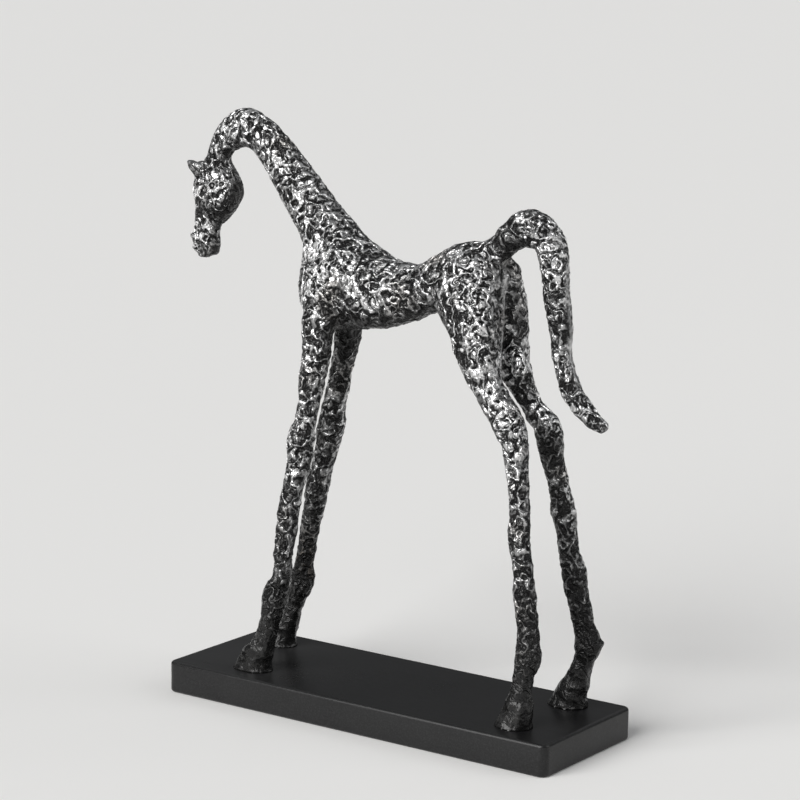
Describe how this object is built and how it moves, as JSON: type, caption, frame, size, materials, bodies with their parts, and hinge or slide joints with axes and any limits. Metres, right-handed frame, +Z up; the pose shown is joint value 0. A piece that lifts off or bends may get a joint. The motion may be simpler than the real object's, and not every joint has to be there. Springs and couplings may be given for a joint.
{
  "type": "horse sculpture",
  "caption": "Slender standing horse with a long arched neck, hanging head and raised tail, cast with a rough ridged skin, standing on a flat rectangular slab plinth.",
  "frame": {"origin": "centre of the plinth's underside", "axes": "+Z up, the horse faces -X, its left side is towards -Y"},
  "size_m": [0.3278, 0.103, 0.3896],
  "materials": {
    "horse": "rough cast metal, antique silver on the ridges, blackened in the pits and towards the hooves",
    "base": "satin black lacquer with eased edges"
  },
  "bodies": {
    "root": {"horse": "horse", "base": "base"}
  },
  "joints": []
}
